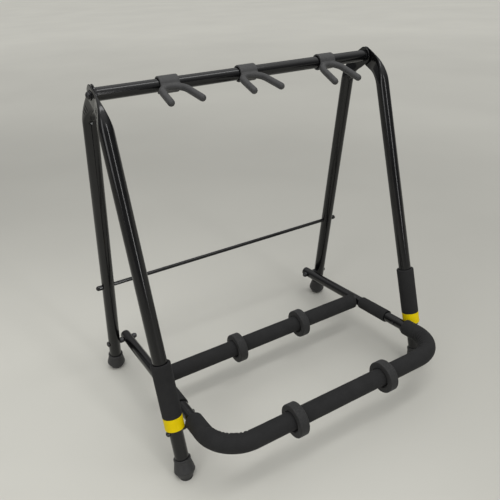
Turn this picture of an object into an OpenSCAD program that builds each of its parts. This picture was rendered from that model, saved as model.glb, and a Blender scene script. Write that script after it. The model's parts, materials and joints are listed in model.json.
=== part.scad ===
// Folding floor rack for three guitars. Two pairs of round steel legs cross at the ends of a
// neck rail with three forked yokes. A padded lower frame is hinged on the rear legs and rests
// in notches on pins in the front legs, so it lifts off and swings up as the legs close.
// The floor is Z = 0, the front is -Y, and the origin is the middle of the footprint.

/* [Rail] */
// Height of the rail axis above the floor
rail_height = 636; // [610:1:660]
// Outside diameter of the rail
rail_d = 22; // [20:0.5:24]
// Distance from the middle of the rail to its end
rail_half = 277; // [270:0.5:278]

/* [Legs] */
// Outside diameter of a leg tube
leg_d = 25.4; // [24:0.2:26]
// Lean of the front legs from upright
front_lean = 16.1; // [14:0.1:18]
// Lean of the rear legs from upright
rear_lean = 9.5; // [8:0.1:12]
// Distance from the pivot to the line of the straight part of a leg
leg_offset = 38.7; // [36:0.1:42]
// Distance from the middle to the sole of each foot
foot_x = 287; // [284:0.5:290]
// Distance from the middle to the flattened end of a front leg
front_plate_x = 284.9; // [284.4:0.1:285]
// Distance from the middle to the flattened end of a rear leg
rear_plate_x = 280.4; // [280.2:0.1:280.6]
// Radius of the bend at the top of a leg
bend_r = 60; // [50:1:70]
// Angle of the bend at the top of a leg
bend_angle = 47; // [42:1:50]
// Thickness of the flattened end
plate_t = 2.6; // [2.4:0.1:2.8]
// Half of the width of the flattened end
plate_half = 16.6; // [15:0.1:18]
// Length of the flattened end past the pivot
plate_end = 15; // [14:0.5:17]
// Radius of the corners of the flattened end
plate_corner = 14; // [10:0.5:14]
// Diameter of the spare hole below the pivot of a rear leg
spare_hole_d = 7; // [4:0.5:8]
// Distance from the pivot down to the spare hole
spare_hole_reach = 37.5; // [36:0.5:44]

/* [Rear cross rod] */
// Diameter of the cross rod
rod_d = 8; // [6:0.5:9]
// Height of the cross rod above the floor
rod_height = 230.8; // [220:0.5:245]

/* [Lower frame] */
// Distance from the middle to each side tube
side_x = 254.2; // [252:0.1:255]
// Outside diameter of the lower frame's tubes
side_d = 22; // [20:0.5:22]
// Slope of the lower frame, rising to the front
lower_tilt = 5; // [4:0.1:6]
// Height of the lower frame's pivots above the floor
pivot_height = 70; // [66:0.5:74]
// Length of a side tube behind its pivot
side_tail = 15; // [12:1:20]
// Distance along the lower frame from its pivots to the end of a side tube
joint_reach = 323; // [318:0.5:325]
// Distance along the lower frame from its pivots to the rear bar
rear_bar_reach = 186; // [175:1:195]
// Distance along the lower frame from its pivots to the front bar
front_bar_reach = 444; // [435:1:450]
// Radius of the front hoop's corners
corner_r = 65; // [55:1:75]

/* [Foam] */
// Outside diameter of the foam on the two padded bars
foam_d = 33.6; // [32:0.1:33.8]
// Distance along the lower frame from its pivots to the left end of the hoop's foam
hoop_foam_left = 340; // [339.5:0.5:350]
// Distance along the lower frame from its pivots to the right end of the hoop's foam
hoop_foam_right = 346; // [339.5:0.5:350]
// Outside diameter of the short sleeves on the side tubes
side_sleeve_d = 27.6; // [26:0.1:28]
// Distance along the lower frame from its pivots to the start of a short sleeve
side_sleeve_reach = 207; // [205:1:212]
// Length of a short sleeve
side_sleeve_len = 83; // [70:1:90]
// Outside diameter of the sleeve on a front leg
leg_sleeve_d = 35.6; // [34:0.1:35.8]
// Height of the top of the sleeve on a front leg
leg_sleeve_top = 212.5; // [190:0.5:230]
// Height of the seam between the leg sleeve and the yellow band
band_top = 116; // [110:1:120]
// Height of the bottom of the yellow band
band_bottom = 93.5; // [92.5:0.1:96]
// Outside diameter of the yellow band
band_d = 35.4; // [34:0.1:35.6]

/* [Dividers] */
// Outside diameter of a divider ring
ring_d = 61; // [56:0.5:64]
// Width of a divider ring
ring_w = 18.5; // [15:0.5:20]
// Radial slack of a ring round its foam, which lets it hang a little
ring_slack = 2.4; // [1:0.1:3]
// Places of the rings on the rear bar
rear_ring_x = [-75, 86];
// Places of the rings on the front bar
front_ring_x = [-107, 98];

/* [Yokes] */
// Places of the yokes along the rail
yoke_x = [-153.5, 0, 177];
// Slope of each yoke's fork below level
yoke_droop = [11, 12.5, 19];
// Length of the yoke's clamp along the rail
clamp_len = 35.5; // [34:0.5:40]
// Outside diameter of the yoke's clamp
clamp_d = 30; // [28:0.5:32]
// Thickness of the fork's arms
arm_d = 12.4; // [11.6:0.1:14]
// Radius of the fork's round root
fork_r = 23; // [21:0.5:25]
// Distance from the rail axis to the centre of the fork's round root
fork_root = 36; // [34:1:38]
// Distance from the rail axis to the centre of an arm's round tip
fork_reach = 75; // [66:1:80]
// Half of the distance between the centres of the two tips
fork_half = 27.7; // [26:0.1:30]

/* [Feet] */
// Widest radius of a foot
foot_r = 19.2; // [18:0.1:20]
// Radius of a foot's sole
sole_r = 12.5; // [11:0.1:14]
// Length of a foot along its leg
foot_len = 37; // [33:1:41]

/* [Hidden] */
$fn = 72;
WALL = 1.5;
// Radial gap of a shaft in its hole, and of a sleeve on its tube
RUN = 0.05;
// Gap of a ring or notch that has to move freely
FREE = 0.3;
// Gap between a flat face and the washer or nut beside it
SLIP = 0.1;

// Ways of the legs, with the pivot at the rail axis
function lean(front) = front ? front_lean : rear_lean;
function side(front) = front ? -1 : 1;
function plate_x(front) = front ? front_plate_x : rear_plate_x;
function leg_len(front) = (rail_height + leg_offset * sin(lean(front))) / cos(lean(front));
arc_len = bend_r * bend_angle * PI / 180;
plate_len = (leg_offset - bend_r * (1 - cos(bend_angle))) / sin(bend_angle);
bend_rise = bend_r * sin(bend_angle) + plate_len * cos(bend_angle);
end_len = arc_len + plate_len + plate_end;
function straight_len(front) = leg_len(front) - bend_rise;
function splay(front) = asin((foot_x - plate_x(front)) / straight_len(front));
// Where a leg's axis meets a height, behind the rail axis, and how far up the leg that is
function leg_y(front, z) = side(front) * (leg_offset / cos(lean(front))
    + (rail_height - z) * tan(lean(front)));
function leg_dist(front, z) = z / cos(lean(front));
function leg_x(front, z) = foot_x - leg_dist(front, z) * sin(splay(front));

// Ways of the lower frame
pivot_y = leg_y(false, pivot_height);
leg_hole_d = rod_d + 2 * RUN;
hook_pin_d = 8;
hook_pin_end = side_x - 1;
hook_drop = side_d / 2 + hook_pin_d / 2 - 2.8;
hook_z = (pivot_height + (pivot_y - leg_y(true, 0)) * tan(lower_tilt)
    - hook_drop / cos(lower_tilt)) / (1 + tan(front_lean) * tan(lower_tilt));
hook_y = leg_y(true, hook_z);
hook_reach = (pivot_y - hook_y) * cos(lower_tilt) + (hook_z - pivot_height) * sin(lower_tilt);
front_bar_y = pivot_y - front_bar_reach * cos(lower_tilt);

// Foot outline: a wide round belly between a bevel to the sole and a cone to the collar
belly_r = 4;
belly = [foot_r - belly_r, 13];
// The foot's sole reaches below the floor before it is cut, and the tube ends above it
sole_low = -5;
sole_gap = 10;
collar_r = leg_d / 2 + 2.3;

// Place of the rail axis that puts the middle of the footprint at Y = 0
rear_reach = leg_y(false, 0) + belly[0] * cos(rear_lean) - belly[1] * sin(rear_lean) + belly_r;
rail_y = (ring_d / 2 - front_bar_y - rear_reach) / 2;

// Fasteners
bolt_d = 6;
bolt_head_d = 12;
bolt_head_h = 6;
bolt_tip_x = 262;
plug_len = 24;
washer_d = 17;
washer_t = 1;
pivot_pin_d = 8;
pivot_head_x = foot_x + leg_d / 2 - 0.6;
spacer_d = 13;
nut_d = 13;
rod_cap_d = 10.4;
rod_cap_len = 12.5;
screw_d = 4;
screw_reach = joint_reach - 5;

BLACK_PAINT = [0.06, 0.06, 0.065];
FOAM = [0.13, 0.13, 0.135];
RUBBER = [0.2, 0.2, 0.205];
STEEL = [0.12, 0.12, 0.125];
YELLOW = [0.85, 0.74, 0.03];

// ---- Helpers -----------------------------------------------------------------------------

// The left copy of something that is drawn on the right
module on_side(right) {
    if (right) children();
    else mirror([1, 0, 0]) children();
}

module on_both_sides() {
    for (right = [true, false]) on_side(right) children();
}

// Frame of the rail axis
module at_rail() {
    translate([0, rail_y, rail_height]) children();
}

// Frame of a right leg: its axis is +Z and its origin is where that axis meets the floor
module on_leg(front, dist = 0) {
    at_rail() rotate([side(front) * lean(front), 0, 0])
        translate([foot_x, side(front) * leg_offset, -leg_len(front)])
        rotate([0, -splay(front), 0])
        translate([0, 0, dist]) children();
}

// Frame of the lower frame: its pivots are on the X axis and its front is -Y
module on_lower_frame() {
    translate([0, rail_y + pivot_y, pivot_height]) rotate([-lower_tilt, 0, 0]) children();
}

// A cylinder along X from x0 to x1
module x_cylinder(x0, x1, d) {
    translate([x0, 0, 0]) rotate([0, 90, 0]) cylinder(h = x1 - x0, d = d);
}

// A cylinder along -Y from y0 forward to y1
module y_cylinder(y0, y1, d) {
    translate([0, -y0, 0]) rotate([90, 0, 0]) cylinder(h = y1 - y0, d = d);
}

// A hollow sleeve along Z
module sleeve(length, outer_d, inner_d) {
    difference() {
        cylinder(h = length, d = outer_d);
        translate([0, 0, -1]) cylinder(h = length + 2, d = inner_d);
    }
}

// A disc along X from its flat face at X = 0 to a low domed face
module domed_disc(d, h) {
    rise = h * 0.55;
    rim_r = d / 2 + 0.1;
    ball_r = (rim_r * rim_r + rise * rise) / (2 * rise);
    rotate([0, 90, 0]) {
        cylinder(h = h - rise, d = d);
        translate([0, 0, h - rise]) intersection() {
            cylinder(h = rise + 1, d = d);
            translate([0, 0, rise - ball_r]) sphere(r = ball_r);
        }
    }
}

// ---- Legs --------------------------------------------------------------------------------

function smooth(t) = t <= 0 ? 0 : t >= 1 ? 1 : t * t * (3 - 2 * t);
function mix(a, b, t) = a + (b - a) * t;
function power(v, e) = sign(v) * pow(abs(v), e);

// Centre line of a leg's upper end, from the start of the bend, in the leg's Y and Z
function end_angle(s) = min(max(s, 0), arc_len) / bend_r * 180 / PI;
function end_point(s) =
    let (a = end_angle(s), before = min(s, 0), after = max(s - arc_len, 0))
    [-leg_offset + bend_r * (1 - cos(a)) + after * sin(a),
     -bend_rise + bend_r * sin(a) + before + after * cos(a)];

// The round tube flattens along the bend, and its end has rounded corners
core_r = leg_d / 2 - 0.1;
flat_len = arc_len + plate_len - 18;
function flatness(s) = smooth(s / flat_len);
function corner_cut(s) =
    let (over = s - (end_len - plate_corner))
    over <= 0 ? 0 : plate_corner - sqrt(max(plate_corner * plate_corner - over * over, 0));
function end_section(s, points) =
    let (f = flatness(s), a = end_angle(s), c = end_point(s), shape = 2 / mix(2, 5, f),
         half_t = mix(core_r, plate_t / 2, f),
         half_w = mix(core_r, plate_half, smooth((s - 6) / flat_len)) - corner_cut(s))
    [for (k = [0 : points - 1])
        let (t = 360 * k / points, u = half_w * power(sin(t), shape))
        [half_t * power(cos(t), shape), c[0] - u * cos(a), c[1] + u * sin(a)]];

// A closed tube of rings of points
module loft(rings) {
    count = len(rings);
    n = len(rings[0]);
    skin = [for (i = [0 : count - 2], k = [0 : n - 1])
        let (a = i * n + k, b = i * n + (k + 1) % n)
        each [[a, b, a + n], [b, b + n, a + n]]];
    caps = [[for (k = [n - 1 : -1 : 0]) k], [for (k = [0 : n - 1]) (count - 1) * n + k]];
    polyhedron(points = [for (ring = rings) each ring], faces = concat(skin, caps));
}

module flattened_end() {
    plain_rings = 18;
    corner_rings = 6;
    section_points = 36;
    root_depth = 4;
    plain_len = end_len - plate_corner + root_depth;
    loft(concat(
        [for (i = [0 : plain_rings])
            end_section(-root_depth + plain_len * i / plain_rings, section_points)],
        [for (j = [1 : corner_rings])
            end_section(end_len - plate_corner * (1 - sin(90 * j / corner_rings)),
                section_points)]));
}

// A right leg, drilled for the pivot bolt and across its tube at each of the given heights
module leg(front, hole_heights) {
    color(BLACK_PAINT)
    difference() {
        union() {
            on_leg(front, sole_gap) sleeve(straight_len(front) - sole_gap, leg_d,
                leg_d - 2 * WALL);
            at_rail() rotate([side(front) * lean(front), 0, 0])
                mirror([0, front ? 0 : 1, 0])
                translate([plate_x(front), 0, 0]) flattened_end();
        }
        at_rail() x_cylinder(plate_x(front) - 5, plate_x(front) + 5, bolt_d + 2 * RUN);
        if (!front) spare_hole();
        for (z = hole_heights)
            translate([0, rail_y + leg_y(front, z), z])
                x_cylinder(foot_x - 30, foot_x + 30, leg_hole_d);
    }
}

// The hole through the flattened part of a rear leg
module spare_hole() {
    at = end_point(arc_len + plate_len - spare_hole_reach);
    at_rail() rotate([rear_lean, 0, 0]) translate([rear_plate_x, -at[0], at[1]])
        x_cylinder(-leg_d, leg_d, spare_hole_d);
}

// A right foot: a rubber boot on the leg's end, with its sole cut level with the floor
function tangent_angle(p, c, r, way) =
    let (d = norm(p - c)) atan2(p[1] - c[1], p[0] - c[0]) + way * acos(r / d);
function arc(c, r, a0, a1, steps) =
    [for (i = [0 : steps]) let (a = mix(a0, a1, i / steps)) c + r * [cos(a), sin(a)]];

module foot(front) {
    shoulder = [collar_r, foot_len - 4];
    low_angle = tangent_angle([sole_r, 0], belly, belly_r, 1);
    high_angle = tangent_angle(shoulder, belly, belly_r, -1);
    room = foot_x + 100;
    color(RUBBER)
    intersection() {
        on_leg(front) difference() {
            rotate_extrude() polygon(concat(
                [[0, sole_low], [sole_r, sole_low], [sole_r, 0]],
                arc(belly, belly_r, low_angle, high_angle, 8),
                [shoulder, [collar_r + 0.7, foot_len - 3]],
                arc([collar_r - 0.3, foot_len - 1], 1, 0, 90, 4),
                [[0, foot_len]]));
            translate([0, 0, sole_gap]) cylinder(h = foot_len, d = leg_d + 2 * RUN);
        }
        translate([-room, -room, 0]) cube([2 * room, 2 * room, 2 * foot_len]);
    }
}

module leg_foam() {
    low = leg_dist(true, band_top);
    color(FOAM) on_leg(true, low)
        sleeve(leg_dist(true, leg_sleeve_top) - low, leg_sleeve_d, leg_d + 2 * RUN);
}

module yellow_band() {
    low = leg_dist(true, band_bottom);
    color(YELLOW) on_leg(true, low)
        sleeve(leg_dist(true, band_top) - low, band_d, leg_d + 2 * RUN);
}

// Pins across the front legs that carry the lower frame in its notches
module hook_pins() {
    head_x = leg_x(true, hook_z) + leg_d / 2 + SLIP;
    color(STEEL) on_both_sides() translate([0, rail_y + hook_y, hook_z]) {
        x_cylinder(hook_pin_end, head_x + 1, hook_pin_d);
        translate([head_x, 0, 0]) domed_disc(9.6, 5.8);
    }
}

// ---- Rail and pivots ---------------------------------------------------------------------

module neck_rail() {
    color(BLACK_PAINT) at_rail() difference() {
        x_cylinder(-rail_half, rail_half, rail_d);
        x_cylinder(-rail_half - 1, rail_half + 1, rail_d - 2 * WALL);
    }
}

module rail_end_plugs() {
    color(STEEL) at_rail() on_both_sides() difference() {
        x_cylinder(rail_half - plug_len, rail_half, rail_d - 2 * WALL - 2 * RUN);
        x_cylinder(rail_half - plug_len - 1, rail_half + 1, bolt_d + 2 * RUN);
    }
}

module pivot_bolts() {
    head_x = front_plate_x + plate_t / 2 + washer_t + 2 * SLIP;
    socket_depth = 2.4;
    color(STEEL) at_rail() on_both_sides() difference() {
        union() {
            x_cylinder(bolt_tip_x, head_x, bolt_d);
            translate([head_x, 0, 0]) domed_disc(bolt_head_d, bolt_head_h);
        }
        translate([head_x + bolt_head_h - socket_depth, 0, 0]) rotate([0, 90, 0])
            cylinder(h = socket_depth + 1, d = 4.6, $fn = 6);
    }
}

// Washers under the bolt heads, between the crossed leg ends, and against the rail
module pivot_washers() {
    gap_in = rear_plate_x + plate_t / 2;
    gap_out = front_plate_x - plate_t / 2;
    head_face = front_plate_x + plate_t / 2;
    rail_face = rear_plate_x - plate_t / 2;
    color(STEEL) at_rail() on_both_sides() difference() {
        union() {
            x_cylinder(head_face + SLIP, head_face + SLIP + washer_t, washer_d);
            x_cylinder(gap_in + SLIP, gap_out - SLIP, washer_d);
            x_cylinder(rail_half + SLIP, rail_face - SLIP, rail_d - 1);
        }
        x_cylinder(rail_half - 1, head_face + 5, bolt_d + 4 * RUN);
    }
}

// ---- Rear frame --------------------------------------------------------------------------

rod_y = leg_y(false, rod_height);
rod_cap_x = leg_x(false, rod_height) + leg_d / 2;

module cross_rod() {
    color(BLACK_PAINT) translate([0, rail_y + rod_y, rod_height])
        x_cylinder(-rod_cap_x - 2, rod_cap_x + 2, rod_d);
}

module rod_caps() {
    color(BLACK_PAINT) translate([0, rail_y + rod_y, rod_height]) on_both_sides()
        difference() {
            translate([rod_cap_x + SLIP, 0, 0]) domed_disc(rod_cap_d, rod_cap_len);
            x_cylinder(rod_cap_x - 3, rod_cap_x + 2.2, rod_d + 2 * RUN);
        }
}

// Pins of the lower frame's hinge, each through a rear leg, a spacer and a side tube
module lower_pivot_bolts() {
    tip = side_x - side_d / 2 - 6;
    color(STEEL) translate([0, rail_y + pivot_y, pivot_height]) on_both_sides() {
        x_cylinder(tip, pivot_head_x, pivot_pin_d);
        translate([pivot_head_x, 0, 0]) domed_disc(12, 4);
    }
}

module lower_pivot_spacers() {
    inner = side_x + side_d / 2 + 2 * SLIP;
    outer = leg_x(false, pivot_height) - leg_d / 2 - 2 * SLIP;
    color(BLACK_PAINT) translate([0, rail_y + pivot_y, pivot_height]) on_both_sides()
        difference() {
            x_cylinder(inner, outer, spacer_d);
            x_cylinder(inner - 1, outer + 1, pivot_pin_d + 2 * RUN);
        }
}

module lower_pivot_nuts() {
    face = side_x - side_d / 2 - 2 * SLIP;
    color(STEEL) translate([0, rail_y + pivot_y, pivot_height]) on_both_sides()
        difference() {
            union() {
                translate([face, 0, 0]) rotate([0, -90, 0]) cylinder(h = 5, d = nut_d, $fn = 6);
                translate([face - 5, 0, 0]) mirror([1, 0, 0]) domed_disc(10, 4.5);
            }
            x_cylinder(face - 6.5, face + 1, pivot_pin_d + 2 * RUN);
        }
}

// ---- Lower frame -------------------------------------------------------------------------

module side_tube() {
    color(BLACK_PAINT) on_lower_frame() difference() {
        translate([side_x, 0, 0]) y_cylinder(-side_tail, joint_reach, side_d);
        translate([side_x, 0, 0]) y_cylinder(-side_tail - 1, joint_reach + 1,
            side_d - 2 * WALL);
        x_cylinder(side_x - side_d, side_x + side_d, pivot_pin_d + 2 * RUN);
        screw_holes();
    }
}

// Rounded plastic plugs in the rear ends of the side tubes
module side_tube_plugs() {
    rim_t = 2;
    color(RUBBER) on_lower_frame() on_both_sides() translate([side_x, side_tail, 0]) {
        rotate([0, 0, 90]) domed_disc(side_d - 0.4, rim_t + 3);
        rotate([90, 0, 0]) cylinder(h = 7, d = side_d - 2 * WALL - 2 * RUN);
    }
}

// Bar that is welded between the side tubes, with coped ends
module rear_bar() {
    color(BLACK_PAINT) on_lower_frame() difference() {
        translate([0, -rear_bar_reach, 0]) x_cylinder(-side_x, side_x, side_d);
        translate([0, -rear_bar_reach, 0]) x_cylinder(-side_x - 1, side_x + 1,
            side_d - 2 * WALL);
        for (x = [-side_x, side_x]) translate([x, 0, 0])
            y_cylinder(rear_bar_reach - 20, rear_bar_reach + 20, side_d + 2 * RUN);
    }
}

// A bar bent round the front of the lower frame, whose two ends start at the given reaches
module hoop(d, left_start, right_start) {
    bend_reach = front_bar_reach - corner_r;
    for (right = [true, false]) on_side(right) {
        translate([side_x, 0, 0]) y_cylinder(right ? right_start : left_start, bend_reach, d);
        translate([side_x - corner_r, -bend_reach, 0]) rotate([0, 0, -90])
            rotate_extrude(angle = 90) translate([corner_r, 0]) circle(d = d);
    }
    translate([0, -front_bar_reach, 0])
        x_cylinder(-side_x + corner_r, side_x - corner_r, d);
}

// The hoop's tube: its narrowed ends go into the side tubes, and it is notched for the pins
module front_hoop() {
    spigot_d = side_d - 2 * WALL - 2 * RUN;
    spigot_len = 32;
    color(BLACK_PAINT) on_lower_frame() difference() {
        union() {
            hoop(side_d, joint_reach + 0.2, joint_reach + 0.2);
            on_both_sides() translate([side_x, 0, 0])
                y_cylinder(joint_reach - spigot_len, joint_reach + 4, spigot_d);
        }
        hoop(side_d - 2 * WALL, joint_reach + 3, joint_reach + 3);
        on_both_sides() translate([side_x, 0, 0])
            y_cylinder(joint_reach - spigot_len - 1, joint_reach + 4, spigot_d - 2 * WALL);
        on_both_sides() translate([0, -hook_reach, -hook_drop])
            x_cylinder(hook_pin_end - 1, side_x + side_d, hook_pin_d + 2 * FREE);
        screw_holes();
    }
}

// Screws through the inner walls that hold the hoop in the side tubes
module hoop_screws() {
    head_x = side_x - side_d / 2 - SLIP;
    color(STEEL) on_lower_frame() on_both_sides() translate([0, -screw_reach, 0]) {
        x_cylinder(head_x - 1, side_x - 3, screw_d);
        translate([head_x, 0, 0]) mirror([1, 0, 0]) domed_disc(7.5, 2.4);
    }
}

// The screws' holes, in the inner walls only
module screw_holes() {
    on_both_sides() translate([0, -screw_reach, 0])
        x_cylinder(side_x - side_d, side_x, screw_d + 2 * RUN);
}

module rear_bar_foam() {
    foam_half = side_x - side_d / 2 - 0.6;
    color(FOAM) on_lower_frame() translate([0, -rear_bar_reach, 0]) difference() {
        x_cylinder(-foam_half, foam_half, foam_d);
        x_cylinder(-foam_half - 1, foam_half + 1, side_d + 2 * RUN);
    }
}

module front_hoop_foam() {
    color(FOAM) on_lower_frame() difference() {
        hoop(foam_d, hoop_foam_left, hoop_foam_right);
        hoop(side_d + 2 * RUN, hoop_foam_left - 1, hoop_foam_right - 1);
    }
}

module side_sleeve() {
    color(FOAM) on_lower_frame() translate([side_x, -side_sleeve_reach, 0])
        rotate([90, 0, 0]) sleeve(side_sleeve_len, side_sleeve_d, side_d + 2 * RUN);
}

// ---- Dividers and yokes ------------------------------------------------------------------

module ring(x, reach) {
    inner_r = foam_d / 2 + ring_slack;
    round_r = 1.8;
    half_w = ring_w / 2;
    outer = ring_d / 2 - round_r;
    hang = ring_slack - FREE;
    color(RUBBER) on_lower_frame() translate([x, -reach, -hang]) rotate([0, 90, 0])
        rotate_extrude() polygon(concat(
            [[inner_r, -half_w + 1], [inner_r + 1, -half_w]],
            arc([outer, -half_w + round_r], round_r, -90, 0, 6),
            arc([outer, half_w - round_r], round_r, 0, 90, 6),
            [[inner_r + 1, half_w], [inner_r, half_w - 1]]));
}

// Centre line of a yoke's fork, from its left tip round the root to its right tip. Each step
// is [x, y, direction, radius], and the radius shrinks to round off the tips.
flare = atan2(fork_half - fork_r, fork_reach - fork_root);
function fork_root_step(a) = [fork_r * sin(a), fork_r * cos(a) - fork_root, -a, arm_d / 2];
function fork_tip_step(b) =
    let (past = arm_d / 2 * sin(b))
    [fork_half + past * sin(flare), -fork_reach - past * cos(flare), flare - 90,
     arm_d / 2 * cos(b)];
function mirrored_step(p) = [-p[0], p[1], -p[2], p[3]];
tip_steps = [for (b = [0 : 16 : 80]) fork_tip_step(b)];
fork_steps = concat(
    [for (i = [len(tip_steps) - 1 : -1 : 0]) mirrored_step(tip_steps[i])],
    [for (i = [0 : 12]) fork_root_step(mix(flare - 90, 90 - flare, i / 12))],
    tip_steps);
function fork_ring(p, points) =
    [for (k = [0 : points - 1])
        let (t = 360 * k / points)
        [p[0] + p[3] * cos(t) * sin(p[2]), p[1] - p[3] * cos(t) * cos(p[2]), p[3] * sin(t)]];

// A forked neck yoke: a split clamp round the rail, and two padded arms that reach forward
module yoke(x, droop) {
    ring_points = 24;
    palm_depth = fork_root - fork_r;
    palm_t = arm_d - 3;
    color(RUBBER) at_rail() translate([x, 0, 0]) rotate([droop, 0, 0]) difference() {
        union() {
            x_cylinder(-clamp_len / 2, clamp_len / 2, clamp_d);
            loft([for (p = fork_steps) fork_ring(p, ring_points)]);
            translate([-clamp_len / 2 + 1, -palm_depth - 3, -palm_t / 2])
                cube([clamp_len - 2, palm_depth, palm_t]);
        }
        x_cylinder(-clamp_len / 2 - 1, clamp_len / 2 + 1, rail_d + 2 * FREE);
        clamp_mouth();
    }
}

// The wedge that opens the clamp at its lower back
module clamp_mouth() {
    half_mouth = 35;
    reach = clamp_d;
    rotate([-135, 0, 0]) rotate([90, 0, 90]) translate([0, 0, -clamp_len])
        linear_extrude(2 * clamp_len)
        polygon([[0, 0], [reach * sin(half_mouth), reach * cos(half_mouth)],
            [-reach * sin(half_mouth), reach * cos(half_mouth)]]);
}

// ---- Assembly ----------------------------------------------------------------------------

neck_rail();
rail_end_plugs();
pivot_bolts();
pivot_washers();
on_side(false) leg(true, [hook_z]);  // front_leg_left
on_side(true) leg(true, [hook_z]);  // front_leg_right
on_side(false) leg_foam();  // front_leg_foam_left
on_side(true) leg_foam();  // front_leg_foam_right
on_side(false) yellow_band();  // yellow_band_left
on_side(true) yellow_band();  // yellow_band_right
hook_pins();
on_side(false) foot(true);  // front_foot_left
on_side(true) foot(true);  // front_foot_right
on_side(false) leg(false, [pivot_height, rod_height]);  // rear_leg_left
on_side(true) leg(false, [pivot_height, rod_height]);  // rear_leg_right
cross_rod();
rod_caps();
lower_pivot_bolts();
lower_pivot_spacers();
lower_pivot_nuts();
on_side(false) foot(false);  // rear_foot_left
on_side(true) foot(false);  // rear_foot_right
on_side(false) side_tube();  // side_tube_left
on_side(true) side_tube();  // side_tube_right
side_tube_plugs();
rear_bar();
front_hoop();
hoop_screws();
rear_bar_foam();
front_hoop_foam();
on_side(false) side_sleeve();  // side_sleeve_left
on_side(true) side_sleeve();  // side_sleeve_right
yoke(yoke_x[0], yoke_droop[0]);  // yoke_left
yoke(yoke_x[1], yoke_droop[1]);  // yoke_middle
yoke(yoke_x[2], yoke_droop[2]);  // yoke_right
ring(rear_ring_x[0], rear_bar_reach);  // rear_ring_left
ring(rear_ring_x[1], rear_bar_reach);  // rear_ring_right
ring(front_ring_x[0], front_bar_reach);  // front_ring_left
ring(front_ring_x[1], front_bar_reach);  // front_ring_right
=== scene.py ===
import json
import math

import bpy
import numpy as np
from mathutils import Matrix, Vector


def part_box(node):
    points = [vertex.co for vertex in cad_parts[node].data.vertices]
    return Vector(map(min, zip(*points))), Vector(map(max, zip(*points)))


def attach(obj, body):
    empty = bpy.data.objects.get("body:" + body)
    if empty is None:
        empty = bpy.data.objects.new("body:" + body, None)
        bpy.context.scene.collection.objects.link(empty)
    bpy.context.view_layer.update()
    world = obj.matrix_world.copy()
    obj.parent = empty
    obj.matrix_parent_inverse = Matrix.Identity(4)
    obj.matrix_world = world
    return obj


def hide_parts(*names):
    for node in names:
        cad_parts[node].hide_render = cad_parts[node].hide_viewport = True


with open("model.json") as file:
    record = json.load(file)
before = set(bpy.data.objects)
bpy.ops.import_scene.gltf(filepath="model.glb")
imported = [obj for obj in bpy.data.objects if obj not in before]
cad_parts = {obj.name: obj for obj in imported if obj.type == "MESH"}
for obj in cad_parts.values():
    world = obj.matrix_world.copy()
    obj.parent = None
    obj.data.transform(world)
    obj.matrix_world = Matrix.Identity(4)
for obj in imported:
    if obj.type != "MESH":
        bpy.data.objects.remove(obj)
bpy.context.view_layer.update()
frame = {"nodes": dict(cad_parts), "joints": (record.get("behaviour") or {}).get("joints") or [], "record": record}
nodes = frame["nodes"]
slot_of = {s["node"]: s["material_slot"] for s in frame["record"]["subparts"]}
joint = {j["name"]: j for j in frame["joints"]}

MM = 0.001


def middle(node):
    lo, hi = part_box(node)
    return (lo + hi) / 2


# ---- Sizes, in metres, the same as the CAD's --------------------------------------------

rail = Vector(joint["rear_leg_fold"]["pos_m"])
pivot = Vector(joint["lower_frame_fold"]["pos_m"])
side_x = middle("side_tube_right").x
tube_r = (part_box("rear_bar")[1].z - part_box("rear_bar")[0].z) / 2
foam_r = (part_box("rear_bar_foam")[1].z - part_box("rear_bar_foam")[0].z) / 2
sleeve_gap = 0.1 * MM  # between a tube and the inside of the foam on it

# The lower frame, with lengths measured forward from its pivots
lower_tilt = math.radians(5)
front_reach, corner_r = 444 * MM, 65 * MM
rear_reach = 186 * MM
foam_left, foam_right = 340 * MM, 346 * MM
sleeve_r, sleeve_start, sleeve_len = 13.8 * MM, 207 * MM, 83 * MM

# The legs, with what is on them measured up from the floor
leg_r, foot_x = 12.7 * MM, 287 * MM
leg_sleeve_r, leg_sleeve_top = 17.8 * MM, 212.5 * MM
band_r, band_top, band_bottom = 17.7 * MM, 116 * MM, 93.5 * MM
LEANS = {"front": math.radians(16.1), "rear": math.radians(9.5)}
SIDE = {"front": -1, "rear": 1}
skin_start = 10 * MM  # where a leg's skin starts, inside its foot

# The legs' bent and flattened tops
leg_offset, bend_r, bend_angle = 38.7 * MM, 60 * MM, math.radians(47)
plate_t, plate_half, plate_end, plate_corner = 2.6 * MM, 16.6 * MM, 15 * MM, 14 * MM
PLATE_X = {"front": 284.9 * MM, "rear": 280.4 * MM}
DENTS = {"front": 0.6 * MM, "rear": 1.7 * MM}
spare_r, spare_reach = 3.5 * MM, 37.5 * MM
arc_len = bend_r * bend_angle
plate_len = (leg_offset - bend_r * (1 - math.cos(bend_angle))) / math.sin(bend_angle)
bend_rise = bend_r * math.sin(bend_angle) + plate_len * math.cos(bend_angle)
end_len = arc_len + plate_len + plate_end
flat_len = arc_len + plate_len - 18 * MM

LOWER = Matrix.Translation(pivot) @ Matrix.Rotation(-lower_tilt, 4, "X")


def leg_len(way):
    """Length of a leg's straight axis, from the floor to beside the rail."""
    return (rail.z + leg_offset * math.sin(LEANS[way])) / math.cos(LEANS[way])


def splay(way):
    """The angle that a leg spreads sideways, from its flattened top to its foot."""
    return math.asin((foot_x - PLATE_X[way]) / (leg_len(way) - bend_rise))


def leg_matrix(way):
    """Frame of a right leg: its axis is +Z, from where that axis meets the floor."""
    return (
        Matrix.Translation(rail)
        @ Matrix.Rotation(SIDE[way] * LEANS[way], 4, "X")
        @ Matrix.Translation((foot_x, SIDE[way] * leg_offset, -leg_len(way)))
        @ Matrix.Rotation(-splay(way), 4, "Y")
    )


def mirrored(points):
    return points * np.array([-1.0, 1.0, 1.0])


def placed(matrix, points):
    m = np.array(matrix)
    return points @ m[:3, :3].T + m[:3, 3]


# ---- Materials ---------------------------------------------------------------------------


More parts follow.
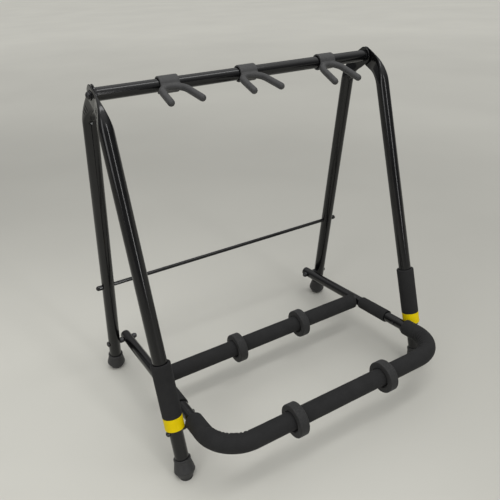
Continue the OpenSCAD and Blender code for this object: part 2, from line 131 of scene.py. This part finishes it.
class Surface:
    """A material being built, with short calls for the nodes it needs."""

    def __init__(self, name):
        self.material = bpy.data.materials.new(name)
        self.material.use_nodes = True
        self.tree = self.material.node_tree
        self.shader = self.tree.nodes["Principled BSDF"]
        self.place = self.tree.nodes.new("ShaderNodeTexCoord").outputs["Object"]

    def node(self, kind, inputs=(), **settings):
        made = self.tree.nodes.new(kind)
        for key, value in settings.items():
            setattr(made, key, value)
        for key, value in dict(inputs).items():
            self.put(made.inputs[key], value)
        return made

    def put(self, socket, value):
        if isinstance(value, bpy.types.NodeSocket):
            self.tree.links.new(value, socket)
        else:
            socket.default_value = value

    def set(self, **values):
        for key, value in values.items():
            self.put(self.shader.inputs[key.replace("_", " ")], value)

    def noise(self, scale, detail=4.0, rough=0.55, stretch=None, distortion=0.0):
        place = self.place
        if stretch:
            place = self.node(
                "ShaderNodeMapping", {"Vector": place, "Scale": stretch}
            ).outputs["Vector"]
        return self.node(
            "ShaderNodeTexNoise",
            {"Vector": place, "Scale": scale, "Detail": detail, "Roughness": rough,
             "Distortion": distortion},
        ).outputs["Fac"]

    def cells(self, scale):
        return self.node(
            "ShaderNodeTexVoronoi", {"Vector": self.place, "Scale": scale}
        ).outputs["Distance"]

    def spread(self, value, low, high, out_low, out_high):
        return self.node(
            "ShaderNodeMapRange",
            {"Value": value, "From Min": low, "From Max": high,
             "To Min": out_low, "To Max": out_high},
        ).outputs["Result"]

    def ramp(self, value, *stops):
        made = self.node("ShaderNodeValToRGB", {"Fac": value})
        band = made.color_ramp
        while len(band.elements) < len(stops):
            band.elements.new(0.5)
        for element, (at, colour) in zip(band.elements, stops):
            element.position = at
            element.color = (*colour, 1.0)
        return made.outputs["Color"]

    def mix(self, share, a, b):
        made = self.node("ShaderNodeMix", data_type="RGBA")
        for socket, value in zip((made.inputs[0], made.inputs[6], made.inputs[7]), (share, a, b)):
            if not isinstance(value, bpy.types.NodeSocket) and socket.type == "RGBA":
                value = (*value, 1.0)
            self.put(socket, value)
        return made.outputs[2]

    def maths(self, operation, a, b=0.0, clamp=False):
        made = self.node("ShaderNodeMath", operation=operation, use_clamp=clamp)
        self.put(made.inputs[0], a)
        self.put(made.inputs[1], b)
        return made.outputs[0]

    def bump(self, *layers):
        """Layers of (height, strength, distance), the coarsest first."""
        normal = None
        for height, strength, distance in layers:
            inputs = {"Height": height, "Strength": strength, "Distance": distance}
            if normal:
                inputs["Normal"] = normal
            normal = self.node("ShaderNodeBump", inputs).outputs["Normal"]
        self.set(Normal=normal)

    def facing_up(self, low=0.35, high=1.0):
        normal = self.node("ShaderNodeNewGeometry").outputs["Normal"]
        up = self.node("ShaderNodeSeparateXYZ", {"Vector": normal}).outputs["Z"]
        return self.spread(up, low, high, 0.0, 1.0)


def gloss_paint(name):
    """Gloss black paint over steel tube: faint orange peel, haze, dust and a few scuffs."""
    s = Surface(name)
    haze = s.noise(22, 5, 0.6)
    fine = s.noise(650, 3, 0.5)
    scuffs = s.spread(s.noise(160, 6, 0.7, stretch=(1.0, 1.0, 0.25)), 0.66, 0.74, 0.0, 1.0)
    dust = s.maths("MULTIPLY", s.facing_up(), s.spread(s.noise(420, 4, 0.7), 0.55, 0.8, 0.0, 0.22))
    base = s.ramp(haze, (0.3, (0.0028, 0.0028, 0.0032)), (0.7, (0.0052, 0.0052, 0.0056)))
    base = s.mix(s.maths("MULTIPLY", scuffs, 0.3), base, (0.04, 0.04, 0.04))
    base = s.mix(dust, base, (0.06, 0.059, 0.056))
    rough = s.spread(haze, 0.3, 0.75, 0.12, 0.17)
    rough = s.maths("ADD", rough, s.maths("MULTIPLY", scuffs, 0.16))
    rough = s.maths("ADD", rough, s.maths("MULTIPLY", dust, 0.3), clamp=True)
    s.set(Base_Color=base, Roughness=rough, Specular_IOR_Level=0.38, Coat_Weight=0.1,
          Coat_Roughness=0.13)
    s.bump((s.noise(75, 3, 0.5), 0.02, 0.0006), (fine, 0.008, 0.0001))
    return s.material


def foam(name):
    """Closed-cell foam rubber: a fine cell grain, soft scuffs and lint."""
    s = Surface(name)
    patches = s.noise(34, 5, 0.6)
    grain = s.noise(900, 3, 0.6)
    cells = s.cells(1500)
    lint = s.spread(s.noise(520, 2, 0.4, distortion=1.2), 0.71, 0.78, 0.0, 0.35)
    base = s.ramp(patches,
                  (0.3, (0.0158, 0.0158, 0.0161)),
                  (0.72, (0.0236, 0.0236, 0.0239)))
    pores = s.spread(cells, 0.0, 0.7, 0.62, 1.12)
    shaded = s.node("ShaderNodeVectorMath", {0: base}, operation="SCALE")
    s.put(shaded.inputs["Scale"], pores)
    base = s.mix(lint, shaded.outputs[0], (0.07, 0.07, 0.068))
    s.set(Base_Color=base, Roughness=s.spread(patches, 0.3, 0.7, 0.8, 0.93),
          Specular_IOR_Level=0.2, Sheen_Weight=0.03, Sheen_Roughness=0.45,
          Sheen_Tint=(0.75, 0.75, 0.76, 1.0))
    s.bump((s.noise(120, 3, 0.5), 0.18, 0.0008), (grain, 0.3, 0.00035), (cells, 0.32, 0.0003))
    return s.material


def moulded_rubber(name, dark, light, grain_scale, grain_depth, rough=(0.58, 0.74), dusty=0.3):
    """Moulded rubber with a fine spark-eroded grain, worn a little lighter in patches."""
    s = Surface(name)
    patches = s.noise(48, 5, 0.6)
    grain = s.noise(grain_scale, 4, 0.65)
    pits = s.cells(grain_scale * 1.25)
    base = s.ramp(patches, (0.32, (dark, dark, dark * 1.03)), (0.7, (light, light, light * 1.02)))
    worn = light * 1.4
    base = s.mix(s.spread(grain, 0.35, 0.7, 0.0, 0.4), base, (worn, worn, worn))
    dust = s.maths("MULTIPLY", s.facing_up(0.2),
                   s.spread(s.noise(300, 4, 0.7), 0.45, 0.75, 0.0, dusty))
    base = s.mix(dust, base, (0.12, 0.118, 0.112))
    s.set(Base_Color=base, Roughness=s.spread(patches, 0.3, 0.7, *rough),
          Specular_IOR_Level=0.42, Sheen_Weight=0.06, Sheen_Roughness=0.5)
    s.bump((grain, 0.45, grain_depth), (pits, 0.3, grain_depth * 0.7))
    return s.material


def black_steel(name):
    """Black-plated steel fasteners, with bright rubbed spots."""
    s = Surface(name)
    patches = s.noise(260, 5, 0.6)
    rubbed = s.spread(s.noise(480, 4, 0.7), 0.62, 0.72, 0.0, 0.45)
    base = s.ramp(patches, (0.3, (0.035, 0.035, 0.037)), (0.7, (0.075, 0.075, 0.078)))
    base = s.mix(rubbed, base, (0.3, 0.3, 0.3))
    s.set(Base_Color=base, Metallic=0.85, Roughness=s.spread(patches, 0.3, 0.7, 0.3, 0.5))
    s.bump((s.noise(1400, 3, 0.5), 0.12, 0.00008),)
    return s.material


def plug_plastic(name):
    """Plain moulded plastic for the tubes' end plugs."""
    s = Surface(name)
    grain = s.noise(1100, 4, 0.6)
    base = s.ramp(s.noise(90, 4, 0.6), (0.3, (0.018, 0.018, 0.019)), (0.7, (0.03, 0.03, 0.031)))
    s.set(Base_Color=base, Roughness=s.spread(grain, 0.3, 0.7, 0.42, 0.6), Specular_IOR_Level=0.45)
    s.bump((grain, 0.25, 0.00012),)
    return s.material


def yellow_rubber(name):
    """Bright yellow rubber, with faint dirt and a moulded grain."""
    s = Surface(name)
    patches = s.noise(60, 5, 0.6)
    dirt = s.spread(s.noise(240, 6, 0.75), 0.6, 0.8, 0.0, 0.3)
    grain = s.noise(900, 4, 0.6)
    base = s.ramp(patches, (0.3, (0.73, 0.535, 0.0)), (0.7, (0.82, 0.625, 0.0008)))
    base = s.mix(dirt, base, (0.42, 0.3, 0.006))
    s.set(Base_Color=base, Roughness=s.spread(patches, 0.3, 0.7, 0.42, 0.58),
          Specular_IOR_Level=0.12)
    s.bump((grain, 0.2, 0.00018),)
    return s.material


PAINTS = ("rail_paint", "leg_paint", "rod_paint", "frame_paint")
materials = {name: gloss_paint(name) for name in PAINTS}
materials |= {
    "black_steel": black_steel("black_steel"),
    "plug_plastic": plug_plastic("plug_plastic"),
    "foam": foam("foam"),
    "yellow_band": yellow_rubber("yellow_band"),
    "foot_rubber": moulded_rubber("foot_rubber", 0.0165, 0.0285, 560, 0.0004, (0.52, 0.7), 0.35),
    "yoke_rubber": moulded_rubber("yoke_rubber", 0.027, 0.042, 380, 0.0008, (0.5, 0.68), 0.25),
    "ring_rubber": moulded_rubber("ring_rubber", 0.0112, 0.0172, 620, 0.0005, (0.72, 0.86), 0.22),
}


def paint(piece, slot):
    piece.data.materials.clear()
    piece.data.materials.append(materials[slot])


# ---- Pieces ------------------------------------------------------------------------------

# Edges that turn more than this stay sharp in the shading, in degrees
FOAM_CREASE, STEEL_CREASE, NO_CREASE = 50, 38, 180


def shade(piece, crease):
    piece.data.shade_smooth()
    piece.data.set_sharp_from_angle(angle=math.radians(crease))


def mesh_piece(name, points, faces, body, slot, replaces, crease=FOAM_CREASE):
    """A piece made from points and faces, finished and added to the scene."""
    mesh = bpy.data.meshes.new(name)
    mesh.from_pydata([tuple(p) for p in points], [], faces)
    mesh.update()
    piece = bpy.data.objects.new(name, mesh)
    bpy.context.scene.collection.objects.link(piece)
    finish_piece(piece, body, slot, replaces, crease)
    return piece


def finish_piece(piece, body, slot, replaces, crease):
    """Gives a piece its shading, material, body and slot, and the nodes it stands for."""
    shade(piece, crease)
    paint(piece, slot)
    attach(piece, body)
    for node in replaces:
        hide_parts(node)


def ring_faces(count, n, flip=False):
    """Quads that join a count of rings of n points, each ring to the next."""
    faces = []
    for i in range(count - 1):
        j = i + 1
        for k in range(n):
            a, b = i * n + k, i * n + (k + 1) % n
            c, d = j * n + (k + 1) % n, j * n + k
            faces.append((a, d, c, b) if flip else (a, b, c, d))
    return faces


def frames_along(path):
    """Unit directions of a path that lies in one plane with normal +Z, and its lengths."""
    steps = np.diff(path, axis=0)
    way = np.vstack([steps[:1], steps[:-1] + steps[1:], steps[-1:]])
    way /= np.linalg.norm(way, axis=1)[:, None]
    lengths = np.concatenate([[0], np.cumsum(np.linalg.norm(steps, axis=1))])
    return way, lengths


def ripple(values, seed, size):
    """A smooth seeded wander between about -1 and 1."""
    waves = 5
    rng = np.random.default_rng(seed)
    total = np.zeros_like(values)
    for k in range(waves):
        total += np.sin(values / size * (0.6 + 0.9 * k) + rng.uniform(0, 6.28)) / (1 + 0.7 * k)
    return total / 2.6


def foam_sleeve(name, path, outer, inner, matrix, mirror, body, node, slot="foam", fill=1.0,
                edge=2.4 * MM, extra=None, seed=1, points=80, wander=0.12 * MM):
    """A thick sleeve along a path, with soft rounded ends and a face between its walls.

    A row is a length along the path, a radius, and whether the foam's surface wanders there.
    That surface shifts sideways in long waves, and swells and thins in short ones. A sleeve
    with a shape of its own has extra, which adds to its radius.
    """
    long_wave, short_wave, lopsided = 21 * MM, 8 * MM, 1.0
    path = np.asarray(path, float)
    way, lengths = frames_along(path)
    total = lengths[-1]
    theta = np.linspace(0, 2 * math.pi, points, endpoint=False)
    plane = np.array([0.0, 0.0, 1.0])
    mouth, lip = 8 * MM, 0.4 * MM
    rows = [(mouth, inner, False), (0.5 * MM, inner, False), (0.1 * MM, inner + lip, False),
            (0.0, outer - edge - lip, False)]
    for a in np.linspace(0, 90, 7):
        a = math.radians(a)
        rows.append((edge * (1 - math.cos(a)), outer - edge * (1 - math.sin(a)), True))
    body_rows = [(s, outer, True) for s in lengths[(lengths > edge) & (lengths < total - edge)]]
    rows = rows + body_rows + [(total - s, r, soft) for s, r, soft in reversed(rows)]
    rings = []
    for s, r, soft in rows:
        centre = np.array([np.interp(s, lengths, path[:, i]) for i in range(3)])
        t = np.array([np.interp(s, lengths, way[:, i]) for i in range(3)])
        t /= np.linalg.norm(t)
        inward = np.cross(plane, t)
        radius = np.full(points, r)
        if soft:
            at = np.full(points, s)
            radius = radius + wander * ripple(at, seed, long_wave) * np.cos(theta - lopsided)
            radius = radius + 0.6 * wander * ripple(at, seed + 7, short_wave)
            if extra is not None:
                radius = radius + extra(s, theta)
        rings.append(centre + np.outer(radius * np.cos(theta), inward)
                     + np.outer(radius * np.sin(theta), plane))
    verts = placed(matrix, np.vstack(rings))
    if mirror:
        verts = mirrored(verts)
    faces = ring_faces(len(rings), points, flip=mirror)
    return mesh_piece(name, verts, faces, body, slot, [node])


def line(start, end, step):
    """Evenly spaced points from start to end, about a step apart."""
    count = max(2, int(math.dist(start, end) / step) + 1)
    return [tuple(np.array(start) + (np.array(end) - np.array(start)) * i / (count - 1))
            for i in range(count)]


def hoop_foam():
    """The foam on the front hoop, creased on the inner side of its two bends."""
    bend_reach = front_reach - corner_r
    centre_x = side_x - corner_r
    gap, step, arc_points = 1 * MM, 2.5 * MM, 110
    right = line((side_x, -foam_right, 0), (side_x, -bend_reach + gap, 0), step)
    arc = [(centre_x + corner_r * math.cos(-a), -bend_reach + corner_r * math.sin(-a), 0)
           for a in np.linspace(0, math.pi / 2, arc_points)]
    front = line((centre_x - gap, -front_reach, 0), (-centre_x + gap, -front_reach, 0), step)
    left = line((side_x, -foam_left, 0), (side_x, -bend_reach + gap, 0), step)
    left = [(-x, y, z) for x, y, z in reversed(left + arc)]
    path = right + arc + front + left
    arc_size = corner_r * math.pi / 2
    right_bend = bend_reach - foam_right
    bends = (right_bend, right_bend + arc_size + 2 * centre_x)
    crease_from, crease_margin = 9 * MM, 4 * MM
    rng = np.random.default_rng(11)
    creases = []
    for start in bends:
        at = start + crease_from
        while at < start + arc_size - crease_margin:
            creases.append((at, rng.uniform(1.7, 3.0) * MM, rng.uniform(1.5, 2.4) * MM,
                            rng.uniform(-0.4, 0.4)))
            at += rng.uniform(7.5, 12) * MM

    def extra(s, theta):
        """Swollen inside a bend, a little thinner outside it, and nipped at each crease."""
        spill, swollen, thinned = 0.15, 1.5 * MM, 0.5 * MM
        inner, outer = np.clip(-np.cos(theta), 0, 1), np.clip(np.cos(theta), 0, 1)
        change = np.zeros_like(theta)
        for start in bends:
            u = (s - start) / arc_size
            if -spill < u < 1 + spill:
                share = min(max((u + spill) / (1 + 2 * spill), 0), 1)
                swell = math.sin(math.pi * share) ** 1.5
                change += swell * (swollen * inner ** 2 - thinned * outer)
        for at, depth, width, skew in creases:
            d = (s - at) / width
            side = np.clip(-np.cos(theta - skew), 0, 1) ** 1.6
            change -= depth * side * np.exp(-d * d)
        return change

    return foam_sleeve("hoop_foam_cover", path, foam_r, tube_r + sleeve_gap, LOWER, False,
                       "lower_frame", "front_hoop_foam", extra=extra, seed=3, points=96)


def rear_foam():
    """The straight foam on the rear bar."""
    half = (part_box("rear_bar_foam")[1].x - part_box("rear_bar_foam")[0].x) / 2
    path = line((half, -rear_reach, 0), (-half, -rear_reach, 0), 3 * MM)
    return foam_sleeve("rear_bar_foam_cover", path, foam_r, tube_r + sleeve_gap, LOWER, False,
                       "lower_frame", "rear_bar_foam", seed=5)


def side_foam(side):
    """The thin sleeve on one side tube, behind the end of the hoop's foam."""
    path = line((side_x, -sleeve_start, 0), (side_x, -sleeve_start - sleeve_len, 0), 2 * MM)
    return foam_sleeve(f"side_sleeve_{side}_cover", path, sleeve_r, tube_r + sleeve_gap, LOWER,
                       side == "left", "lower_frame", f"side_sleeve_{side}", edge=1.2 * MM,
                       seed=9 if side == "left" else 10)


# Leg sleeves and bands run along Z, so they are drawn along X and turned up
UPRIGHT = Matrix.Rotation(math.radians(-90), 4, "Y")


def leg_dist(z):
    """Length along a front leg at a height above the floor."""
    return z / math.cos(LEANS["front"])


def leg_cover(name, low, high, radius, side, node, **looks):
    """A sleeve on a front leg, between two heights above the floor."""
    path = line((leg_dist(low), 0, 0), (leg_dist(high), 0, 0), 2 * MM)
    return foam_sleeve(name, path, radius, leg_r + sleeve_gap, leg_matrix("front") @ UPRIGHT,
                       side == "left", "front_frame", node, **looks)


def leg_foam(side):
    return leg_cover(f"leg_foam_{side}_cover", band_top, leg_sleeve_top, leg_sleeve_r, side,
                     f"front_leg_foam_{side}", edge=1.8 * MM, seed=21 if side == "left" else 22)


def yellow_band(side):
    return leg_cover(f"band_{side}_cover", band_bottom, band_top, band_r, side,
                     f"yellow_band_{side}", slot="yellow_band", edge=0.8 * MM, fill=None,
                     seed=31 if side == "left" else 32, wander=0.05 * MM)


def smooth(t):
    """An even rise from 0 to 1, with level ends."""
    t = min(max(t, 0.0), 1.0)
    return t * t * (3 - 2 * t)


def blend(a, b, t):
    return a + (b - a) * t


def end_section(s, points, dent=0.0):
    """A ring of a leg's bent and flattened top, s along it from the start of the bend.

    The inner side of the bend is dented, as it is where the tube has buckled a little, with a
    low bulge after the dent. A faint ripple from the press crosses the start of the flat.
    """
    dent_at, dent_len = 7 * MM, 3.4 * MM
    bulge_at, bulge_len, bulge = 15 * MM, 4.5 * MM, 0.35
    crimp_at, crimp_len, crimp_pitch, crimp_size = 26 * MM, 13 * MM, 0.95 * MM, 0.007
    inner_at, inner_span, widen_from = 1.5 * math.pi, 0.42, 6 * MM
    tube_power, plate_power = 2, 5
    f = smooth(s / flat_len)
    angle = min(max(s, 0), arc_len) / bend_r
    before, after = min(s, 0), max(s - arc_len, 0)
    cy = -leg_offset + bend_r * (1 - math.cos(angle)) + after * math.sin(angle)
    cz = -bend_rise + bend_r * math.sin(angle) + before + after * math.cos(angle)
    over = s - (end_len - plate_corner)
    cut = 0 if over <= 0 else plate_corner - math.sqrt(max(plate_corner**2 - over**2, 0))
    half_t = blend(leg_r, plate_t / 2, f)
    half_w = blend(leg_r, plate_half, smooth((s - widen_from) / flat_len)) - cut
    shape = 2 / blend(tube_power, plate_power, f)
    t = np.linspace(0, 2 * math.pi, points, endpoint=False)
    u = half_w * np.sign(np.sin(t)) * np.abs(np.sin(t)) ** shape
    x = half_t * np.sign(np.cos(t)) * np.abs(np.cos(t)) ** shape
    inner = np.exp(-(((t - inner_at) / inner_span) ** 2))
    u = u + dent * inner * (math.exp(-(((s - dent_at) / dent_len) ** 2))
                            - bulge * math.exp(-(((s - bulge_at) / bulge_len) ** 2)))
    crimp = math.exp(-(((s - crimp_at) / crimp_len) ** 2))
    x = x * (1 + crimp_size * crimp * math.sin(s / crimp_pitch) * np.abs(np.cos(t)))
    return np.stack([x, cy - u * math.cos(angle), cz + u * math.sin(angle)], 1)


def leg(way, side):
    """A leg in one skin, from inside its foot to the rounded end of its flattened top."""
    points, straight_rings, bend_rings, corner_rings = 80, 24, 84, 12
    last_but_one, last = 10 * MM, 4 * MM  # where the straight's last rings are, below the bend
    flip_y = np.array([1.0, 1.0 if way == "front" else -1.0, 1.0])
    top = (
        Matrix.Translation(rail)
        @ Matrix.Rotation(SIDE[way] * LEANS[way], 4, "X")
        @ Matrix.Translation((PLATE_X[way], 0, 0))
    )
    straight = leg_len(way) - bend_rise
    t = np.linspace(0, 2 * math.pi, points, endpoint=False)
    circle = np.stack([leg_r * np.cos(t), -leg_r * np.sin(t), 0 * t], 1) * flip_y
    heights = list(np.linspace(skin_start, straight - last_but_one, straight_rings))
    heights += [straight - last]
    rings = [placed(leg_matrix(way), circle + np.array([0, 0, h])) for h in heights]
    steps = list(np.linspace(0, end_len - plate_corner, bend_rings))
    steps += [end_len - plate_corner * (1 - math.sin(math.radians(a)))
              for a in np.linspace(0, 90, corner_rings)[1:]]
    rings += [placed(top, end_section(s, points, DENTS[way]) * flip_y) for s in steps]
    verts = np.vstack(rings)
    flip = (way == "rear") != (side == "left")
    if side == "left":
        verts = mirrored(verts)
    faces = ring_faces(len(rings), points, flip=not flip)
    top_ring = (len(rings) - 1) * points
    ends = [list(range(points)), list(range(top_ring + points - 1, top_ring - 1, -1))]
    faces += [e if not flip else e[::-1] for e in ends]
    piece = mesh_piece(f"{way}_leg_{side}_skin", verts, faces, f"{way}_frame", "leg_paint",
                       [f"{way}_leg_{side}"], crease=STEEL_CREASE)
    if way == "rear":
        at = end_section(arc_len + plate_len - spare_reach, 2).mean(axis=0) * flip_y
        drill(piece, placed(top, at[None, :])[0] * (-1 if side == "left" else 1, 1, 1))
    return piece


def drill(piece, place):
    """Cuts the spare hole across a leg, at a place on its axis."""
    turns, reach = 48, 30 * MM
    t = np.linspace(0, 2 * math.pi, turns, endpoint=False)
    ends = [np.stack([0 * t + x, spare_r * np.cos(t), spare_r * np.sin(t)], 1) + place
            for x in (-reach, reach)]
    faces = ring_faces(2, turns, flip=True)
    faces += [list(range(turns)), list(range(2 * turns - 1, turns - 1, -1))]
    mesh = bpy.data.meshes.new("drill")
    mesh.from_pydata([tuple(p) for p in np.vstack(ends)], [], faces)
    mesh.update()
    tool = bpy.data.objects.new("drill", mesh)
    bpy.context.scene.collection.objects.link(tool)
    cut = piece.modifiers.new("spare_hole", "BOOLEAN")
    cut.operation, cut.object, cut.solver = "DIFFERENCE", tool, "EXACT"
    apply_modifiers(piece)
    shade(piece, STEEL_CREASE)
    paint(piece, "leg_paint")
    bpy.data.objects.remove(tool)


def apply_modifiers(piece):
    depsgraph = bpy.context.evaluated_depsgraph_get()
    made = bpy.data.meshes.new_from_object(piece.evaluated_get(depsgraph))
    piece.modifiers.clear()
    piece.data = made


def yoke_cover(node):
    """A copy of a yoke with its edges melted round, as moulded rubber has them."""
    voxel, rounds = 0.95 * MM, 9
    piece = bpy.data.objects.new(f"{node}_cover", nodes[node].data.copy())
    bpy.context.scene.collection.objects.link(piece)
    remesh = piece.modifiers.new("remesh", "REMESH")
    remesh.mode, remesh.voxel_size, remesh.adaptivity = "VOXEL", voxel, 0.0
    melt = piece.modifiers.new("melt", "SMOOTH")
    melt.factor, melt.iterations = 0.5, rounds
    apply_modifiers(piece)
    finish_piece(piece, node, "yoke_rubber", [node], NO_CREASE)
    return piece


# The width of the rounded edges of each CAD node that stays, in mm
BEVELS = {
    "neck_rail": 0.4, "rail_end_plugs": 0.4, "pivot_bolts": 0.35, "pivot_washers": 0.15,
    "hook_pins": 0.35, "cross_rod": 0.5, "rod_caps": 0.5, "lower_pivot_bolts": 0.4,
    "lower_pivot_spacers": 0.3, "lower_pivot_nuts": 0.4, "side_tube_left": 0.3,
    "side_tube_right": 0.3, "side_tube_plugs": 0.5, "rear_bar": 0, "front_hoop": 0.2,
    "hoop_screws": 0.3, "front_foot_left": 0.5, "front_foot_right": 0.5,
    "rear_foot_left": 0.5, "rear_foot_right": 0.5, "rear_ring_left": 0.6,
    "rear_ring_right": 0.6, "front_ring_left": 0.6, "front_ring_right": 0.6,
}


def polish(node, width):
    """Rounds the sharp edges of a CAD node that stays, and gives it its finish."""
    piece = nodes[node]
    weld = piece.modifiers.new("weld", "WELD")
    weld.merge_threshold = 0.01 * MM
    if width:
        bevel = piece.modifiers.new("bevel", "BEVEL")
        bevel.width, bevel.segments, bevel.limit_method = width, 3, "ANGLE"
        bevel.angle_limit = math.radians(STEEL_CREASE)
    piece.data.shade_smooth()
    piece.modifiers.new("normals", "WEIGHTED_NORMAL").keep_sharp = True
    paint(piece, slot_of[node])


# ---- Camera, floor and light -------------------------------------------------------------

CAMERA_PLACE = (-0.5275, -0.8046, 0.8186)
CAMERA_TURN = (-30.335, 27.692, -2.189)  # azimuth, elevation and roll, in degrees
LENS, SENSOR = 40.02, 36

FLOOR_SIZE = 40
FLOOR_COLOURS = ((0.3, (0.738, 0.728, 0.667)), (0.7, (0.786, 0.776, 0.71)))

# Painted light and shade on the floor: how bright its colour is, by the distance from a place on it as a share of
# the reach
PAINTED_LIGHT_CENTRE, PAINTED_LIGHT_REACH = (-0.75, 0.0, 0.0), 7.0
PAINTED_LIGHT_TONES = (
    (0.0, 0.79), (0.064, 0.775), (0.103, 0.745), (0.143, 0.665), (0.186, 0.612),
    (0.257, 0.588), (0.329, 0.635), (0.443, 0.76), (0.714, 0.85), (1.0, 0.97),
)

# The sky's colour by the height of a direction, and its strength
SKY = ((0.0, (0.12, 0.12, 0.12)), (0.45, (0.32, 0.32, 0.32)), (0.8, (1.0, 1.0, 0.99)))
SKY_STRENGTH = 1.02

# Each light's place, aim, width and height, and watts
CENTRE = (0, 0, 0.3)
LIGHTS = {
    "overhead": ((0.1, -0.75, 2.9), (0, 0.1, 0.3), (2.6, 0.42), 19),
    "left_window": ((-2.7, -1.5, 1.6), CENTRE, (1.1, 1.9), 16),
    "front_window": ((0.45, -3.2, 1.48), CENTRE, (0.34, 2.4), 20),
}


def make_camera():
    """The photograph's viewpoint, solved from the rack's straight tubes."""
    azimuth, elevation, roll = (math.radians(a) for a in CAMERA_TURN)
    back = Vector((math.sin(azimuth) * math.cos(elevation),
                   -math.cos(azimuth) * math.cos(elevation), math.sin(elevation)))
    right = Vector((math.cos(azimuth), math.sin(azimuth), 0))
    up = right.cross(-back)
    r = right * math.cos(roll) + up * math.sin(roll)
    u = -right * math.sin(roll) + up * math.cos(roll)
    camera = bpy.data.objects.new("camera", bpy.data.cameras.new("camera"))
    x, y, z = CAMERA_PLACE
    camera.matrix_world = Matrix((
        (r.x, u.x, back.x, x), (r.y, u.y, back.y, y), (r.z, u.z, back.z, z), (0, 0, 0, 1)))
    camera.data.sensor_width, camera.data.lens = SENSOR, LENS
    camera.data.clip_start, camera.data.clip_end = 0.01, 100
    bpy.context.scene.collection.objects.link(camera)
    bpy.context.scene.camera = camera


def make_floor():
    """A pale floor with painted light and shade: a painted pool of light round a place beside the rack, painted
    shade round that, and brighter again far away.
    """
    mesh = bpy.data.meshes.new("floor")
    signs = ((-1, -1), (1, -1), (1, 1), (-1, 1))
    mesh.from_pydata([(FLOOR_SIZE * x, FLOOR_SIZE * y, 0) for x, y in signs], [], [(0, 1, 2, 3)])
    floor = bpy.data.objects.new("floor", mesh)
    bpy.context.scene.collection.objects.link(floor)
    s = Surface("floor")
    base = s.ramp(s.noise(1.2, 3, 0.5), *FLOOR_COLOURS)
    far = s.node("ShaderNodeVectorMath", {0: s.place, 1: PAINTED_LIGHT_CENTRE}, operation="DISTANCE")
    # Painted light and shade: the floor's colour is scaled by its distance from a place beside the rack
    painted_light = s.ramp(s.spread(far.outputs["Value"], 0.0, PAINTED_LIGHT_REACH, 0.0, 1.0),
                  *((at, (tone, tone, tone)) for at, tone in PAINTED_LIGHT_TONES))
    base = s.node("ShaderNodeVectorMath", {0: base, 1: painted_light}, operation="MULTIPLY").outputs[0]
    s.set(Base_Color=base, Roughness=0.62, Specular_IOR_Level=0.3)
    floor.data.materials.append(s.material)


def area_light(name, place, aim, size, power):
    data = bpy.data.lights.new(name, "AREA")
    data.shape, data.size, data.size_y = "RECTANGLE", size[0], size[1]
    data.energy = power
    light = bpy.data.objects.new(name, data)
    light.location = place
    light.rotation_mode = "QUATERNION"
    light.rotation_quaternion = (Vector(aim) - Vector(place)).to_track_quat("-Z", "Y")
    bpy.context.scene.collection.objects.link(light)


def make_light():
    """A soft sky that is brightest overhead, and three soft area lights."""
    world = bpy.data.worlds.new("studio")
    world.use_nodes = True
    tree = world.node_tree
    sky = tree.nodes["Background"]
    way = tree.nodes.new("ShaderNodeTexCoord").outputs["Generated"]
    height = tree.nodes.new("ShaderNodeSeparateXYZ")
    tree.links.new(way, height.inputs["Vector"])
    ramp = tree.nodes.new("ShaderNodeValToRGB")
    tree.links.new(height.outputs["Z"], ramp.inputs["Fac"])
    band = ramp.color_ramp
    low, half_way, high = SKY
    band.elements[0].position, band.elements[0].color = low[0], (*low[1], 1)
    band.elements[1].position, band.elements[1].color = high[0], (*high[1], 1)
    band.elements.new(half_way[0]).color = (*half_way[1], 1)
    tree.links.new(ramp.outputs["Color"], sky.inputs["Color"])
    sky.inputs["Strength"].default_value = SKY_STRENGTH
    bpy.context.scene.world = world
    bpy.context.scene.view_settings.view_transform = "Standard"
    for name, (place, aim, size, power) in LIGHTS.items():
        area_light(name, place, aim, size, power)


# ---- Assembly ----------------------------------------------------------------------------

make_camera()
make_floor()
make_light()

hoop_foam()
rear_foam()
for side in ("left", "right"):
    side_foam(side)
    leg_foam(side)
    yellow_band(side)
    for way in ("front", "rear"):
        leg(way, side)
for node in ("yoke_left", "yoke_middle", "yoke_right"):
    yoke_cover(node)
for node, width in BEVELS.items():
    polish(node, width * MM)
